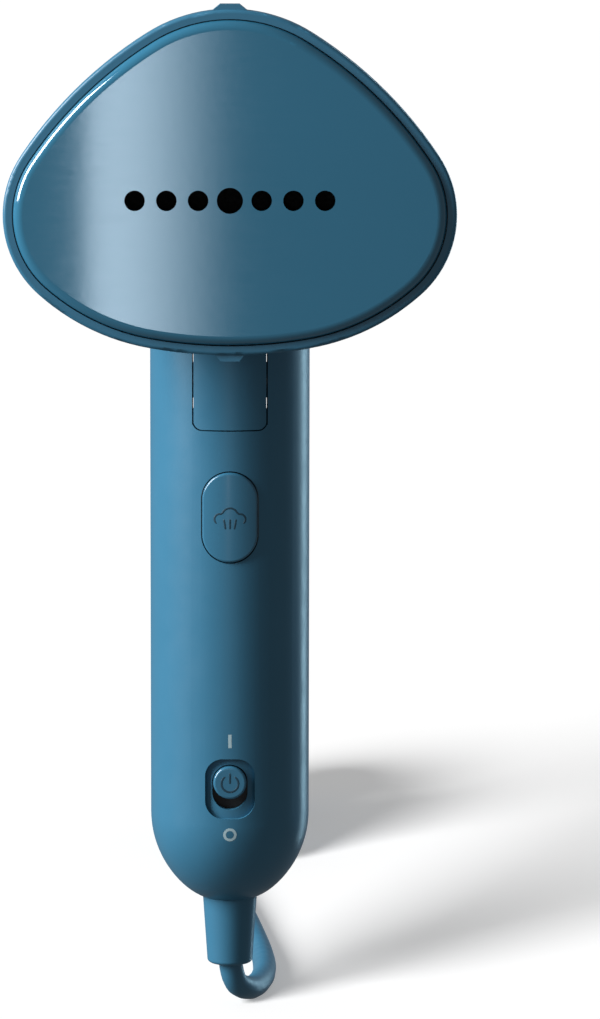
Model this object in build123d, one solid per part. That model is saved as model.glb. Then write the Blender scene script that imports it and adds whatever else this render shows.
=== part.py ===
from build123d import *
import math
import os

# A hand-held folding garment steamer, in millimetres, +Z up, +X to the user's right.
# The steam plate faces -Y. Heights are counted from the handle's lower end while modelling,
# and every piece is lowered by GRIP_HEIGHT when it is saved, so the origin is in the grip.

# Handle
HANDLE_RADIUS = 22.2
HANDLE_END = HANDLE_RADIUS + 3.8          # length of the handle's oval lower end
HANDLE_TIP_RADIUS = HANDLE_RADIUS - 2.8   # rounding of that end on the axis
HANDLE_WALL = 2.0
HANDLE_TOP_RADIUS = HANDLE_RADIUS + 0.4   # rounding of the handle's top about the hinge
GRIP_HEIGHT = 75.0
HINGE_HEIGHT = 148.0
CHEEK_WALL = 2.0

# Head
HEAD_WIDTH = 121.8
OUTLINE_TURNS = (32.0, 56.0, 138.0, 170.0)   # where each arc of the outline ends, from the top
OUTLINE_RADII = (41.8, 113.4, 28.5, 60.3)    # their radii on a head 121.8 wide; the last is worked out
OUTLINE_WIDTH = 121.8
HEAD_DROP = 37.8           # from the outline's widest height down to its lowest, on a head 121.8 wide
HEAD_NECK_OVERLAP = 11.0   # how far the rim's lowest point hangs below the handle's top
WIDEST_HEIGHT = HINGE_HEIGHT + HANDLE_TOP_RADIUS + HEAD_DROP * HEAD_WIDTH / OUTLINE_WIDTH - HEAD_NECK_OVERLAP
RIM_FRONT = -46.0
RIM_BACK = -38.0
RIM_WIDTH = 2.5
HEAD_WALL = 2.0
NECK_SCALE = 0.68          # size of the head's rear end and tank beside its rim
BOWL_STEPS = 5

# Steam plate and chamber
PLATE_FRONT = -48.0
PLATE_BACK = -44.0
PLATE_WALL = 1.6
PLATE_EDGE = 2.6           # radius of the plate's rounded edge
HOLE_HEIGHT = WIDEST_HEIGHT + 4.2
HOLE_PITCH = 8.5
HOLE_RADIUS = 2.75
CENTRE_HOLE_RADIUS = 3.5
SIDE_HOLES = 3
CHAMBER_INSET = 7.4
CHAMBER_BACK = -40.3
POCKET_INSET = 22.0
POCKET_FRONT = -44.5
ELEMENT_INSET = 12.5
ELEMENT_RADIUS = 3.2
COVER_INSET = 17.0
COVER_THICKNESS = 1.5
GASKET_THICKNESS = 0.5
CHAMBER_SCREW_INSET = 19.5
INLET = (14.0, WIDEST_HEIGHT - 7.4)      # x and height of the chamber's water inlet
SHIELD_FRONT = -31.5
SHIELD_INSET = 9.0
WIRE_HOLE = (24.0, WIDEST_HEIGHT - 15.9)

# Hinge and neck
NECK_RADIUS = HANDLE_RADIUS - 0.4
NECK_HALF_WIDTH = 10.0
NECK_GAP = 0.4
NECK_BACK = -3.2
NECK_TOP = HINGE_HEIGHT + HANDLE_TOP_RADIUS + 5.4
NECK_WALL = 2.2
NECK_CORNER = 2.3
PANEL_BOTTOM = HINGE_HEIGHT - 11.5
REAR_SLOT_BOTTOM = HINGE_HEIGHT - 9.0
PIN_RADIUS = 5.0
PIN_BORE = 3.0
PIN_INNER_X = 8.0
BOSS_END_X = 14.5
BUSH_RADIUS = 6.45
RUNNING_GAP = 0.05
NOTCH_RADIUS = 1.2

# Pump
PUMP_Y = -17.0
PUMP_HEIGHT = WIDEST_HEIGHT + 7.6
PUMP_RADIUS = 8.5
PUMP_BORE = 5.0
PUMP_HALF_LENGTH = 20.0
PUMP_STROKE = 3.0
HOSE_RADIUS = 3.2
HOSE_BORE = 2.05
SPIGOT_RADIUS = 2.0

# Tank
TANK_FRONT = 0.3
TANK_BACK = 44.0
TANK_WALL = 1.8
TANK_EDGE = 9.0
DOCK_HEIGHT = WIDEST_HEIGHT - 10.4
DOCK_RADIUS = 7.2
TANK_SPIGOT_RADIUS = 4.0
DOCK_GAP = 0.35
DOOR_WIDTH = 24.0
DOOR_HEIGHT = 17.0
DOOR_CENTRE = WIDEST_HEIGHT + 14.6
DOOR_THICKNESS = 1.9
DOOR_GAP = 0.3
PORT_RADIUS = 6.5
PORT_HEIGHT = WIDEST_HEIGHT + 16.1

# Steam button
BUTTON_HEIGHT = 112.35
BUTTON_WIDTH = 15.2
BUTTON_LENGTH = 25.0
BUTTON_PROUD = 0.7
BUTTON_GAP = 0.35
BUTTON_TRAVEL = 1.6
BUTTON_FLANGE_FRONT = HANDLE_WALL + 2.8 - HANDLE_RADIUS
BUTTON_FLANGE_BACK = BUTTON_FLANGE_FRONT + 1.2
SEAT_FRONT = BUTTON_FLANGE_BACK + 5.0
PLUNGER_FRONT = SEAT_FRONT - 1.6
SWITCH_BACK = SEAT_FRONT + 7.7

# Power slide
RECESS_WIDTH = 13.8
RECESS_HEIGHT = 16.9
RECESS_CENTRE = 36.3
RECESS_DEPTH = 1.3
KNOB_RADIUS = 4.6
KNOB_HEIGHT = 38.1
KNOB_FACE = -HANDLE_RADIUS - 0.3
SLIDE_TRAVEL = 3.0
SLIDE_GAP = 0.3
CARRIAGE_FRONT = HANDLE_WALL + 2.3 - HANDLE_RADIUS
CARRIAGE_BACK = CARRIAGE_FRONT + 1.0
LEVER_BACK = CARRIAGE_BACK + 4.3
MARK_LENGTH = 3.8
MARK_STROKE = 1.0
ON_MARK_HEIGHT = 49.8
OFF_MARK_HEIGHT = 23.4
MARK_DEPTH = 0.3

# Board and fasteners
BOARD_FRONT = 4.0
BOARD_THICKNESS = 1.6
BOARD_HALF_WIDTH = 10.0
BOARD_BOTTOM = 21.0
BOARD_TOP = 118.0
SCREW_X = 14.0
SCREW_HEIGHTS = (30.0, 92.0)
SCREW_RADIUS = 1.25
SCREW_HEAD_RADIUS = 2.6
BOSS_RADIUS = 3.3
FIT_GAP = 0.05

# Cord, guard and plug
CORD_RADIUS = 3.35
GUARD_END = -17.6
GUARD_TOP_RADIUS = 7.5
GUARD_END_RADIUS = 6.3
GUARD_FLANGE_RADIUS = 10.5
GUARD_FLANGE_BOTTOM = 6.0
FLOOR = -31.4
CORD_START = -12.6
CORD_INNER_END = 20.0
HANK_CENTRE_Y = 248.0
HANK_LOBE_Y = 36.0         # from the hank's middle to the middle of each end loop
HANK_LOBE_RADIUS = 20.0
HANK_WAIST = 3.7
HANK_TURNS = 5.5
HANK_FLARE = 7.0           # from an end loop's middle back to where the legs draw in
HANK_RISE = 6.8
TIE_WALL = 1.2
TIE_WIDTH = 12.0
PLUG_RADIUS = 18.5
PLUG_LENGTH = 38.0
PLUG_BACK_ROUNDING = 6.0
PLUG_FACE_ROUNDING = 1.0
PLUG_GROOVE_DEPTH = 1.6
PLUG_GROOVE_WIDTH = 7.0
PLUG_GROOVE_START = 8.0
PLUG_PIN_RADIUS = 2.4
PLUG_PIN_ROOT_RADIUS = 1.9
PLUG_PIN_ROOT = 8.0
PLUG_PIN_TIP = 1.2
PLUG_PIN_LENGTH = 19.0
PLUG_PIN_SPACING = 19.0
RELIEF_LENGTH = 22.0
RELIEF_RADIUS = 5.6

CORD_Z = FLOOR + CORD_RADIUS + 0.05
HANK_TOP = CORD_Z - CORD_RADIUS + HANK_TURNS * HANK_RISE
PLUG_Z = HANK_TOP + TIE_WALL + PLUG_RADIUS + 0.3
RELIEF_START = (7.5, HANK_CENTRE_Y - 4.0, PLUG_Z)
PLUG_HEADING = 168.0       # the plug's turn about the vertical, from pins pointing to the rear

# The cord's route from the guard along the floor to the hank, and from the hank up to the plug.
CORD_ROUTE = (
    (0.0, 0.0, CORD_START),
    (0.0, 0.0, -23.0),
    (5.6, 8.0, CORD_Z),
    (9.9, 24.0, CORD_Z),
    (9.4, 46.0, CORD_Z),
    (5.5, 76.0, CORD_Z),
    (1.5, 112.0, CORD_Z),
    (-3.8, 151.0, CORD_Z),
    (-13.0, HANK_CENTRE_Y - HANK_LOBE_Y - HANK_LOBE_RADIUS, CORD_Z),
)
TAIL_ROUTE = (
    (19.0, HANK_CENTRE_Y + HANK_LOBE_Y, HANK_TOP + CORD_RADIUS),
    (16.6, HANK_CENTRE_Y + 23.0, HANK_TOP + CORD_RADIUS + 3.0),
    (10.3, HANK_CENTRE_Y + 8.0, PLUG_Z - 2.0),
    RELIEF_START,
)

nodes = {}


def block(x, y, z):
    """A box from three (low, high) pairs."""
    size = (x[1] - x[0], y[1] - y[0], z[1] - z[0])
    middle = ((x[0] + x[1]) / 2, (y[0] + y[1]) / 2, (z[0] + z[1]) / 2)
    return Pos(*middle) * Box(*size)


def rod_x(radius, start, end, y, z):
    return Pos((start + end) / 2, y, z) * Rot(0, 90, 0) * Cylinder(radius, abs(end - start))


def rod_y(radius, x, start, end, z):
    return Pos(x, (start + end) / 2, z) * Rot(90, 0, 0) * Cylinder(radius, abs(end - start))


def rod_z(radius, x, y, start, end):
    return Pos(x, y, (start + end) / 2) * Cylinder(radius, abs(end - start))


def pipe(points, bend, radius, bore=0.0):
    """A round bar or tube along straight runs joined by tangent arcs."""
    path = FilletPolyline(*points, radius=bend)
    section = Circle(radius) - Circle(bore) if bore else Circle(radius)
    start = Plane(origin=path @ 0, z_dir=path % 0)
    return sweep(start * section, path=path)


def coil_spring(radius, wire, length, turns):
    """A round-wire spring standing on Z = 0."""
    helix = Helix(pitch=length / turns, height=length, radius=radius)
    start = Plane(origin=helix @ 0, z_dir=helix % 0)
    return sweep(start * Circle(wire), path=helix)


def group(shapes):
    return Compound(children=list(shapes))


def both_sides(shape):
    return group([shape, mirror(shape, about=Plane.YZ)])


# Head outline

def outline_arcs():
    """Centres, radii and end angles of the outline's arcs on one side, about the widest height."""
    turns = [math.radians(turn) for turn in OUTLINE_TURNS]
    radii = [radius * HEAD_WIDTH / OUTLINE_WIDTH for radius in OUTLINE_RADII]
    across = sum((radii[i] - radii[i + 1]) * math.sin(turns[i]) for i in range(3))
    radii.append(radii[3] + across / math.sin(turns[3]))
    centres = [(0.0, 0.0)]
    for i in range(4):
        step = radii[i] - radii[i + 1]
        x, z = centres[-1]
        centres.append((x + step * math.sin(turns[i]), z + step * math.cos(turns[i])))
    widest = centres[2][1]
    centres = [(x, z - widest) for x, z in centres]
    return centres, radii, turns


def outline_point(arc, angle, scale, inset, side=1):
    centres, radii, _ = outline_arcs()
    reach = radii[arc] * scale - inset
    x = centres[arc][0] * scale + reach * math.sin(angle)
    z = centres[arc][1] * scale + reach * math.cos(angle)
    return side * x, WIDEST_HEIGHT + z


def outline_edge(arc, start, end, scale, inset, y, side=1):
    points = []
    for angle in (start, (start + end) / 2, end):
        x, z = outline_point(arc, angle, scale, inset, side)
        points.append((x, y, z))
    return Edge.make_three_point_arc(*points)


def outline_edges(scale, inset, y):
    """The closed outline, from its left end of the bottom arc clockwise round to the bottom arc."""
    _, _, turns = outline_arcs()
    shape = (scale, inset, y)
    left = [outline_edge(i, turns[i], turns[i - 1], *shape, side=-1) for i in (3, 2, 1)]
    top = [outline_edge(0, -turns[0], turns[0], *shape)]
    right = [outline_edge(i, turns[i - 1], turns[i], *shape) for i in (1, 2, 3)]
    bottom = [outline_edge(4, turns[3], 2 * math.pi - turns[3], *shape)]
    return left + top + right + bottom


def outline_face(scale, inset, y):
    return Face(Wire(outline_edges(scale, inset, y)))


def slab(front, back, inset, scale=1.0):
    """The head's outline as a plate between two depths."""
    return extrude(outline_face(scale, inset, front), amount=back - front, dir=(0, 1, 0))


def bowl_scale(y):
    """Size of the bowl beside the rim: a half cosine wave from the rim back to the tank."""
    share = (y - RIM_BACK) / (0.0 - RIM_BACK)
    return NECK_SCALE + (1 - NECK_SCALE) * math.cos(math.pi / 2 * share) ** 2


def bowl(inset):
    depths = [RIM_BACK + (0.0 - RIM_BACK) * i / (BOWL_STEPS - 1) for i in range(BOWL_STEPS)]
    return loft([outline_face(bowl_scale(y), inset, y) for y in depths])


def front_edges(shape, y):
    return [edge for edge in shape.edges() if abs(edge.center().Y - y) < 0.01]


# Head shell

def brush_tab(turn, width, base, rise, side):
    """A small blunt tab standing on the rim, for a clip-on brush."""
    _, z = outline_point(0 if side > 0 else 4, 0.0 if side > 0 else math.pi, 1.0, 0.0)
    points = [(-base / 2, z - 1.2 * side), (-width / 2, z + rise * side),
              (width / 2, z + rise * side), (base / 2, z - 1.2 * side)]
    face = make_face(Polyline(*[(x, RIM_FRONT + 1.0, height) for x, height in points], close=True))
    return extrude(face, amount=turn, dir=(0, 1, 0))


def head_front_housing():
    rim = slab(RIM_FRONT, RIM_BACK, 0.0)
    rim = fillet(front_edges(rim, RIM_FRONT), 1.0)
    rim += brush_tab(6.0, 5.2, 11.6, 1.4, 1)
    rim += brush_tab(6.0, 5.0, 9.6, 1.7, -1)
    outer = rim + bowl(0.0)
    seat = slab(RIM_FRONT - 1, PLATE_BACK + GASKET_THICKNESS, RIM_WIDTH)
    mouth = slab(PLATE_BACK, RIM_BACK + 1, RIM_WIDTH + 3.0)
    hollow = bowl(HEAD_WALL)
    rear = slab(-1, 1, HEAD_WALL, NECK_SCALE)
    shell = outer - seat - mouth - hollow - rear
    for x, z in rear_screw_places():
        shell += rod_y(4.0, x, -12.0, -3.2, z)
        shell -= rod_y(SCREW_RADIUS + FIT_GAP, x, -11.0, -3.0, z)
    gap = NECK_HALF_WIDTH + 0.25
    shell -= block((-gap, gap), (-HANDLE_RADIUS - 1, NECK_BACK + 0.2), (HINGE_HEIGHT + 7.0, NECK_TOP + 3))
    return shell


def rear_screw_places():
    angles = ((1, 48.0), (3, 150.0))
    places = [outline_point(arc, math.radians(a), NECK_SCALE, 5.2, side)
              for arc, a in angles for side in (1, -1)]
    return places


def head_rear_cover():
    cover = slab(-3.0, -1.0, HEAD_WALL + 0.3, NECK_SCALE)
    cover += rod_y(DOCK_RADIUS, 0, -9.0, -1.0, DOCK_HEIGHT)
    cover += rod_y(DOCK_RADIUS, 0, -10.5, -9.0, DOCK_HEIGHT)
    cover += rod_y(SPIGOT_RADIUS, 0, -15.5, -10.5, DOCK_HEIGHT)
    cover -= rod_y(TANK_SPIGOT_RADIUS + DOCK_GAP, 0, -9.0, 0.0, DOCK_HEIGHT)
    cover -= rod_y(5.7, 0, -5.0, -3.2, DOCK_HEIGHT)
    cover -= rod_y(1.2, 0, -16.0, -8.0, DOCK_HEIGHT)
    for x, z in rear_screw_places():
        cover -= rod_y(SCREW_RADIUS + 0.2, x, -4.0, 0.0, z)
        cover -= rod_y(SCREW_HEAD_RADIUS, x, -2.0, 0.0, z)
    return cover


def head_screws():
    screws = []
    for x, z in rear_screw_places():
        screws.append(rod_y(SCREW_RADIUS, x, -10.0, -1.9, z)
                      + rod_y(SCREW_HEAD_RADIUS - 0.2, x, -1.9, -1.0, z))
    return group(screws)


def dock_ring():
    """The O-ring round the tank's spigot."""
    minor = 0.79
    return Pos(0, -4.1, DOCK_HEIGHT) * Rot(90, 0, 0) * Torus(TANK_SPIGOT_RADIUS + 0.08 + minor, minor)


# Steam plate and chamber

def steam_holes():
    holes = [(0.0, CENTRE_HOLE_RADIUS)]
    for i in range(1, SIDE_HOLES + 1):
        holes += [(i * HOLE_PITCH, HOLE_RADIUS), (-i * HOLE_PITCH, HOLE_RADIUS)]
    return holes


def steam_plate():
    plate = slab(PLATE_FRONT, PLATE_BACK, RIM_WIDTH + 0.25)
    plate = fillet(front_edges(plate, PLATE_FRONT), PLATE_EDGE)
    plate -= slab(PLATE_FRONT + PLATE_WALL, PLATE_BACK + 1, RIM_WIDTH + 0.25 + PLATE_WALL)
    for x, radius in steam_holes():
        plate -= rod_y(radius, x, PLATE_FRONT - 1, PLATE_FRONT + 3, HOLE_HEIGHT)
    return plate


def plate_seal():
    outer = slab(PLATE_BACK, PLATE_BACK + GASKET_THICKNESS, RIM_WIDTH + 0.3)
    return outer - slab(PLATE_BACK - 1, PLATE_BACK + 1, RIM_WIDTH + 2.6)


def element_path():
    return Wire(outline_edges(1.0, ELEMENT_INSET, CHAMBER_BACK)[:-1])


def along_element(radius):
    path = element_path()
    start = Plane(origin=path @ 0, z_dir=path % 0)
    return sweep(start * Circle(radius), path=path)


def chamber_screw_places():
    spots = ((0, 0.0, 1), (1, 47.0, 1), (1, 47.0, -1), (2, 118.0, 1), (2, 118.0, -1), (4, 180.0, 1))
    return [outline_point(arc, math.radians(a), 1.0, CHAMBER_SCREW_INSET, side) for arc, a, side in spots]


def steam_chamber_base():
    base = slab(PLATE_FRONT + PLATE_WALL + 0.05, CHAMBER_BACK, CHAMBER_INSET)
    base -= slab(POCKET_FRONT, CHAMBER_BACK + 1, POCKET_INSET)
    base -= along_element(ELEMENT_RADIUS + FIT_GAP)
    for x, radius in steam_holes():
        base -= rod_y(radius, x, PLATE_FRONT, CHAMBER_BACK, HOLE_HEIGHT)
    for x, z in chamber_screw_places():
        base -= rod_y(SCREW_RADIUS + FIT_GAP, x, -44.3, CHAMBER_BACK + 1, z)
    return base


def heating_element():
    element = along_element(ELEMENT_RADIUS)
    path = element_path()
    for end in (path @ 0, path @ 1):
        element += rod_y(1.5, end.X, CHAMBER_BACK, CHAMBER_BACK + 8, end.Z)
        element += rod_y(2.4, end.X, CHAMBER_BACK, CHAMBER_BACK + 4, end.Z)
    return element


def chamber_gasket():
    back = CHAMBER_BACK + GASKET_THICKNESS
    gasket = slab(CHAMBER_BACK, back, COVER_INSET) - slab(CHAMBER_BACK - 1, back + 1, POCKET_INSET)
    for x, z in chamber_screw_places():
        gasket -= rod_y(SCREW_RADIUS + 0.2, x, CHAMBER_BACK - 1, back + 1, z)
    return gasket


def steam_chamber_cover():
    front = CHAMBER_BACK + GASKET_THICKNESS
    back = front + COVER_THICKNESS
    cover = slab(front, back, COVER_INSET)
    cover += rod_y(SPIGOT_RADIUS, INLET[0], front, back + 7.5, INLET[1])
    cover -= rod_y(1.2, INLET[0], front - 1, back + 8, INLET[1])
    for x, z in chamber_screw_places():
        cover -= rod_y(SCREW_RADIUS + 0.2, x, front - 1, back + 1, z)
    return cover


def chamber_screws():
    back = CHAMBER_BACK + GASKET_THICKNESS + COVER_THICKNESS
    return group([rod_y(SCREW_RADIUS, x, -44.0, back, z) + rod_y(2.2, x, back, back + 1.6, z)
                  for x, z in chamber_screw_places()])


def thermostat():
    back = CHAMBER_BACK + GASKET_THICKNESS + COVER_THICKNESS
    body = rod_y(7.0, -22.0, back, back + 5.0, WIDEST_HEIGHT + 1.6)
    for side in (-1, 1):
        x = -22.0 + side * 3
        body += block((x - 0.8, x + 0.8), (back + 4, back + 6.5), (WIDEST_HEIGHT - 2.4, WIDEST_HEIGHT + 5.6))
    return body


def thermal_fuse():
    y = CHAMBER_BACK + GASKET_THICKNESS + COVER_THICKNESS + 2.0
    body = rod_z(1.95, 26.0, y, WIDEST_HEIGHT - 5.4, WIDEST_HEIGHT + 6.6)
    return body + rod_z(0.5, 26.0, y, WIDEST_HEIGHT - 9.4, WIDEST_HEIGHT + 10.6)


def heat_shield():
    cover_back = CHAMBER_BACK + GASKET_THICKNESS + COVER_THICKNESS
    shield = slab(SHIELD_FRONT, SHIELD_FRONT + 0.6, SHIELD_INSET)
    for x, rise in ((34.0, 5.6), (-34.0, 5.6), (-8.0, -13.4)):
        shield += rod_y(2.0, x, cover_back, SHIELD_FRONT + 0.3, WIDEST_HEIGHT + rise)
    shield -= rod_y(HOSE_RADIUS + 0.5, INLET[0], SHIELD_FRONT - 1, SHIELD_FRONT + 2, INLET[1])
    shield -= rod_y(2.2, WIRE_HOLE[0], SHIELD_FRONT - 1, SHIELD_FRONT + 2, WIRE_HOLE[1])
    return shield


# Hinge neck

def hinge_neck():
    half = NECK_HALF_WIDTH
    disc = rod_x(NECK_RADIUS, -half, half, 0, HINGE_HEIGHT)
    front = make_face(Polyline((-half, 0, PANEL_BOTTOM), (half, 0, PANEL_BOTTOM), (half, 0, NECK_TOP),
                               (-half, 0, NECK_TOP), close=True))
    corners = [v for v in front.vertices() if v.Z < PANEL_BOTTOM + 1]
    front = fillet(corners, NECK_CORNER)
    tongue = extrude(
        Pos(0, -HANDLE_RADIUS - 1, 0) * front,
        amount=HANDLE_RADIUS + 1 + NECK_BACK,
        dir=(0, 1, 0),
    )
    tongue &= rod_z(HANDLE_RADIUS, 0, 0, PANEL_BOTTOM - 5, NECK_TOP + 5)
    neck = (disc & rod_z(HANDLE_RADIUS, 0, 0, HINGE_HEIGHT - 30, HINGE_HEIGHT + 30)) + tongue
    neck += block((-16, 16), (1.2 - HANDLE_RADIUS, NECK_BACK), (NECK_TOP, NECK_TOP + 2.5))
    inner = half - NECK_WALL
    neck -= rod_x(NECK_RADIUS - NECK_WALL, -inner, inner, 0, HINGE_HEIGHT)
    neck -= block((-inner, inner), (-HANDLE_RADIUS + NECK_WALL + 0.6, NECK_BACK - NECK_WALL),
                  (HINGE_HEIGHT, NECK_TOP + 4))
    neck -= rod_x(BUSH_RADIUS + FIT_GAP, -half - 1, half + 1, 0, HINGE_HEIGHT)
    neck -= rod_x(NOTCH_RADIUS, -7, 7, 0, HINGE_HEIGHT - NECK_RADIUS)
    neck -= rod_x(NOTCH_RADIUS, -7, 7, NECK_RADIUS, HINGE_HEIGHT)
    return neck


def hinge_bushes():
    bush = rod_x(BUSH_RADIUS, NECK_HALF_WIDTH - NECK_WALL, NECK_HALF_WIDTH, 0, HINGE_HEIGHT)
    bush -= rod_x(PIN_RADIUS + RUNNING_GAP, 5, 12, 0, HINGE_HEIGHT)
    return both_sides(bush)


def hinge_pins():
    pin = rod_x(PIN_RADIUS, PIN_INNER_X, BOSS_END_X, 0, HINGE_HEIGHT)
    pin += rod_x(PIN_RADIUS + 1.4, BOSS_END_X, BOSS_END_X + 1.0, 0, HINGE_HEIGHT)
    pin -= rod_x(PIN_BORE, 5, 20, 0, HINGE_HEIGHT)
    return both_sides(pin)


def detent_spring():
    """A leaf held between the cheeks, with a rib that drops into the neck's notches."""
    top = HINGE_HEIGHT - NECK_RADIUS - 2.0
    leaf = block((-11.8, 11.8), (-3.0, 3.0), (top - 0.6, top))
    return leaf + rod_x(0.85, -6, 6, 0, top + 1.4) + block((-6, 6), (-0.85, 0.85), (top - 0.1, top + 1.4))


# Handle

def handle_body(inset):
    """A round bar with an oval lower end of two tangent arcs, and a top rounded about the hinge."""
    radius = HANDLE_RADIUS - inset
    top = HINGE_HEIGHT + HANDLE_TOP_RADIUS + 5
    spare = HANDLE_RADIUS - HANDLE_TIP_RADIUS
    drop = HANDLE_END - HANDLE_TIP_RADIUS
    shoulder = (drop ** 2 + HANDLE_RADIUS ** 2 - HANDLE_TIP_RADIUS ** 2) / (2 * spare)
    turn = math.degrees(math.atan2(-drop, shoulder - HANDLE_RADIUS))
    tip_arc = CenterArc((0, HANDLE_TIP_RADIUS), HANDLE_TIP_RADIUS - inset, -90, turn + 90)
    shoulder_arc = CenterArc((HANDLE_RADIUS - shoulder, HANDLE_END), shoulder - inset, turn, -turn)
    profile = make_face([tip_arc, shoulder_arc, Line((radius, HANDLE_END), (radius, top)),
                         Line((radius, top), (0, top)), Line((0, top), (0, inset))])
    bar = Rot(0, 0, 60) * revolve(Plane.XZ * profile, axis=Axis.Z)
    keep = rod_x(HANDLE_TOP_RADIUS - inset, -30, 30, 0, HINGE_HEIGHT)
    keep += block((-30, 30), (-30, 30), (-5, HINGE_HEIGHT))
    return bar & keep


def slot_cut():
    """The space that the hinge neck turns in."""
    half = NECK_HALF_WIDTH + NECK_GAP
    disc = rod_x(NECK_RADIUS + 0.35, -half, half, 0, HINGE_HEIGHT)
    low = PANEL_BOTTOM - 0.35
    front = make_face(Polyline((-half, 0, low), (half, 0, low), (half, 0, 180), (-half, 0, 180), close=True))
    front = fillet([v for v in front.vertices() if v.Z < low + 1], NECK_CORNER + 0.3)
    front = extrude(Pos(0, -30, 0) * front, amount=30, dir=(0, 1, 0))
    rear = block((-half, half), (-1, 30), (REAR_SLOT_BOTTOM, 180))
    return disc + front + rear


def guard_cone(gap, start, end):
    """The cord guard's taper between two heights, made larger by a gap."""
    slope = (GUARD_TOP_RADIUS - GUARD_END_RADIUS) / (0 - GUARD_END)
    low = GUARD_TOP_RADIUS + slope * start + gap
    high = GUARD_TOP_RADIUS + slope * end + gap
    return Pos(0, 0, (start + end) / 2) * Cone(low, high, end - start)


def stadium(width, length, start, end, height):
    """A round-ended bar along Y, taller than it is wide."""
    straight = (length - width) / 2
    bar = block((-width / 2, width / 2), (start, end), (height - straight, height + straight))
    for side in (-1, 1):
        bar += rod_y(width / 2, 0, start, end, height + side * straight)
    return bar


def mark_shapes(depth_gap):
    """The on and off marks, as bars that reach into the handle's front."""
    low = -HANDLE_RADIUS - 1
    high = -HANDLE_RADIUS + 4
    half = MARK_STROKE / 2 + depth_gap
    on = block((-half, half), (low, high), (ON_MARK_HEIGHT - MARK_LENGTH / 2 - depth_gap,
                                            ON_MARK_HEIGHT + MARK_LENGTH / 2 + depth_gap))
    off = rod_y(MARK_LENGTH / 2 + depth_gap, 0, low, high, OFF_MARK_HEIGHT)
    off -= rod_y(MARK_LENGTH / 2 - MARK_STROKE * 0.8 - depth_gap, 0, low - 1, high + 1, OFF_MARK_HEIGHT)
    return on, off


def handle_shell():
    """Both halves of the handle as one hollow solid, before it is split."""
    outer = handle_body(0.0)
    shell = outer - handle_body(HANDLE_WALL)
    cheek_in = NECK_HALF_WIDTH + NECK_GAP
    for side in (-1, 1):
        cheek = sorted((side * cheek_in, side * (cheek_in + CHEEK_WALL)))
        shell += block(cheek, (-30, 30), (119.0, 180.0)) & outer
        shell += rod_x(8.0, side * cheek_in, side * BOSS_END_X, 0, HINGE_HEIGHT)
        for z in SCREW_HEIGHTS:
            shell += rod_y(BOSS_RADIUS, side * SCREW_X, -30, 30, z) & outer
    shell -= slot_cut()
    shell -= rod_x(PIN_RADIUS + RUNNING_GAP, -BOSS_END_X - 1, BOSS_END_X + 1, 0, HINGE_HEIGHT)
    shell -= guard_cone(0.15, -2.0, GUARD_FLANGE_BOTTOM + 3)
    ledge = HINGE_HEIGHT - NECK_RADIUS - 2.0
    shell -= block((-12.0, 12.0), (-3.1, 3.1), (ledge - 0.7, ledge + 0.1))
    return shell


def handle_front_shell(whole):
    shell = whole & block((-40, 40), (-40, 0), (-10, 200))
    pad = block((-9.5, 9.5), (-30, CARRIAGE_FRONT - 0.8), (RECESS_CENTRE - 11, RECESS_CENTRE + 11))
    shell += pad & handle_body(0.0)
    shell -= stadium(BUTTON_WIDTH + 2 * BUTTON_GAP, BUTTON_LENGTH + 2 * BUTTON_GAP, -30, -5, BUTTON_HEIGHT)
    recess = handle_body(-5.0) - handle_body(RECESS_DEPTH)
    shell -= recess & rounded_bar(RECESS_WIDTH, RECESS_HEIGHT, 5.0, -30, -10, RECESS_CENTRE)
    slot_length = 2 * KNOB_RADIUS + SLIDE_TRAVEL + 2 * SLIDE_GAP
    slot_centre = KNOB_HEIGHT - SLIDE_TRAVEL / 2
    shell -= stadium(2 * (KNOB_RADIUS + SLIDE_GAP), slot_length, -30, -10, slot_centre)
    groove = handle_body(-5.0) - handle_body(MARK_DEPTH)
    for mark in mark_shapes(0.0):
        shell -= groove & mark
    for x in (-SCREW_X, SCREW_X):
        for z in SCREW_HEIGHTS:
            shell -= rod_y(SCREW_RADIUS + FIT_GAP, x, -11.0, 1.0, z)
    return shell


def rounded_bar(width, height, corner, start, end, centre):
    """A bar along Y with a rounded rectangle as its section."""
    bar = block((-width / 2, width / 2), (start, end), (centre - height / 2, centre + height / 2))
    return fillet(bar.edges().filter_by(Axis.Y), corner)


def handle_rear_shell(whole):
    outer = handle_body(0.0)
    shell = whole & block((-40, 40), (0, 40), (-10, 200))
    shell += block((-12, 12), (0, 30), (13.0, 19.0)) & outer
    shell -= rod_z(CORD_RADIUS + FIT_GAP, 0, 0, 5, 25)
    for z in (56.0, 102.0):
        shell += rod_y(2.6, 0, BOARD_FRONT + BOARD_THICKNESS, 30, z) & outer
        shell -= rod_y(1.05, 0, 0, 14, z)
    for x in (-8.5, 8.5):
        shell -= rod_y(SCREW_RADIUS + FIT_GAP, x, -1, 7, 16.0)
    for x in (-SCREW_X, SCREW_X):
        for z in SCREW_HEIGHTS:
            shell -= rod_y(SCREW_RADIUS + 0.2, x, -1, 30, z)
            shell -= rod_y(SCREW_HEAD_RADIUS + 0.2, x, 9.0, 30, z)
    return shell


def handle_screws():
    screws = []
    for x in (-SCREW_X, SCREW_X):
        for z in SCREW_HEIGHTS:
            head = rod_y(SCREW_HEAD_RADIUS, x, 9.0, 11.0, z)
            head -= block((x - 1.8, x + 1.8), (10.3, 12), (z - 0.4, z + 0.4))
            head -= block((x - 0.4, x + 0.4), (10.3, 12), (z - 1.8, z + 1.8))
            screws.append(head + rod_y(SCREW_RADIUS, x, -10.0, 9.0, z))
    return group(screws)


def switch_marks():
    skin = handle_body(-0.02) - handle_body(MARK_DEPTH)
    return group([(skin & mark).solids()[0] for mark in mark_shapes(-0.03)])


# Steam button

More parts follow.
